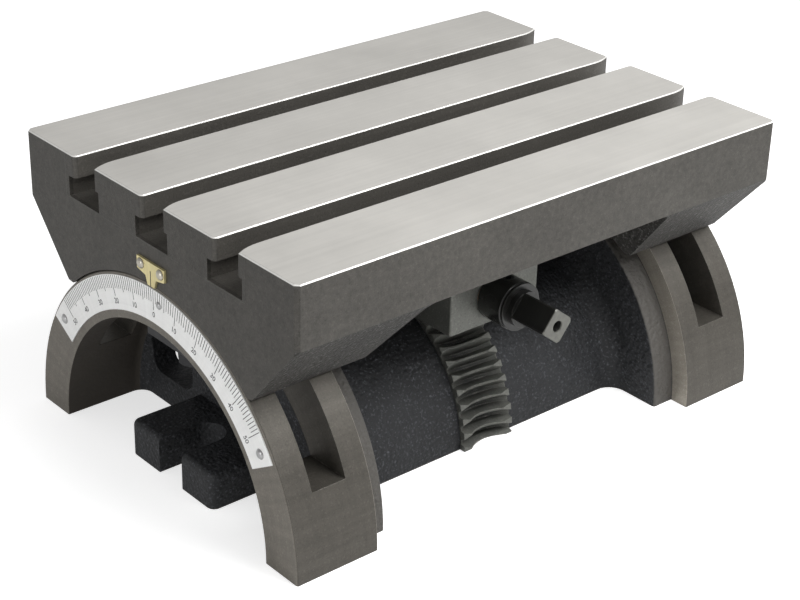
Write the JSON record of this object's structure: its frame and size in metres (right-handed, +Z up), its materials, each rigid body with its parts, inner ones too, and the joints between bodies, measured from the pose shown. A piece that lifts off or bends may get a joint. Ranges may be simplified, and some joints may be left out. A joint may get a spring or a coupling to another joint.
{
  "type": "tilting t-slot table",
  "caption": "Hand-driven tilting T-slot table on two half-round arches, with a worm under the table, a toothed half ring, an angle scale and clamps",
  "frame": {"origin": "middle of the base's underside, on the tilt axis", "axes": "+X along the T-slots and the tilt axis, towards the end without the scale; -Y towards the crank square; +Z up, out of the table top"},
  "size_m": [0.2562, 0.183, 0.1255],
  "materials": {
    "base_iron": "rough cast, blackened; arches machined",
    "table_iron": "rough cast sides, ground top",
    "machined_iron": "machined, bare",
    "scale_aluminium": "satin",
    "rivet_aluminium": "satin",
    "pointer_brass": "polished",
    "bright_screws": "polished",
    "black_steel": "black oxide",
    "bright_steel": "turned",
    "oiled_steel": "blackened, oiled; end face bare",
    "bronze": "turned bronze"
  },
  "bodies": {
    "base": {"base_casting": "base_iron", "gear_segment": "machined_iron", "segment_screws": "black_steel", "scale_plate": "scale_aluminium", "scale_rivets": "rivet_aluminium"},
    "table": {"table_casting": "table_iron", "pointer_plate": "pointer_brass", "pointer_screws": "bright_screws", "worm_bracket": "machined_iron", "bracket_screws": "black_steel", "bracket_dowels": "bright_steel", "front_bush": "bronze", "rear_bush": "bronze", "bush_set_screws": "black_steel"},
    "worm": {"worm_shaft": "oiled_steel", "front_thrust_washer": "bronze", "rear_thrust_washer": "bronze", "shaft_collar": "oiled_steel", "collar_set_screw": "black_steel", "retaining_ring": "oiled_steel"},
    "left_shoe": {"left_clamp_shoe": "black_steel", "left_clamp_washer": "bright_steel"},
    "right_shoe": {"right_clamp_shoe": "black_steel", "right_clamp_washer": "bright_steel"},
    "left_clamp": {"left_clamp_screw": "black_steel"},
    "right_clamp": {"right_clamp_screw": "black_steel"}
  },
  "joints": [
    {"name": "table_tilt", "type": "hinge", "parent": "base", "child": "table", "pos_m": [0, 0, 0], "axis": [1, 0, 0], "range_deg": [-45, 45]},
    {"name": "worm_turn", "type": "hinge", "parent": "table", "child": "worm", "pos_m": [0, 0, 0.07], "axis": [0, 1, 0], "range_deg": [-2520, 2520]},
    {"name": "left_shoe_drop", "type": "slide", "parent": "table", "child": "left_shoe", "axis": [0, 0, -1], "range_m": [0, 0.0015]},
    {"name": "left_clamp_turn", "type": "hinge", "parent": "left_shoe", "child": "left_clamp", "pos_m": [-0.10685, 0, 0.06], "axis": [0, 0, -1], "range_deg": [0, 360]},
    {"name": "right_shoe_drop", "type": "slide", "parent": "table", "child": "right_shoe", "axis": [0, 0, -1], "range_m": [0, 0.0015]},
    {"name": "right_clamp_turn", "type": "hinge", "parent": "right_shoe", "child": "right_clamp", "pos_m": [0.10685, 0, 0.06], "axis": [0, 0, -1], "range_deg": [0, 360]}
  ],
  "couplings": [
    {"joint": "worm_turn", "follows": "table_tilt", "ratio": -56},
    {"joint": "left_clamp_turn", "follows": "left_shoe_drop", "rad_per_m": 4188.8},
    {"joint": "right_clamp_turn", "follows": "right_shoe_drop", "rad_per_m": 4188.8}
  ]
}
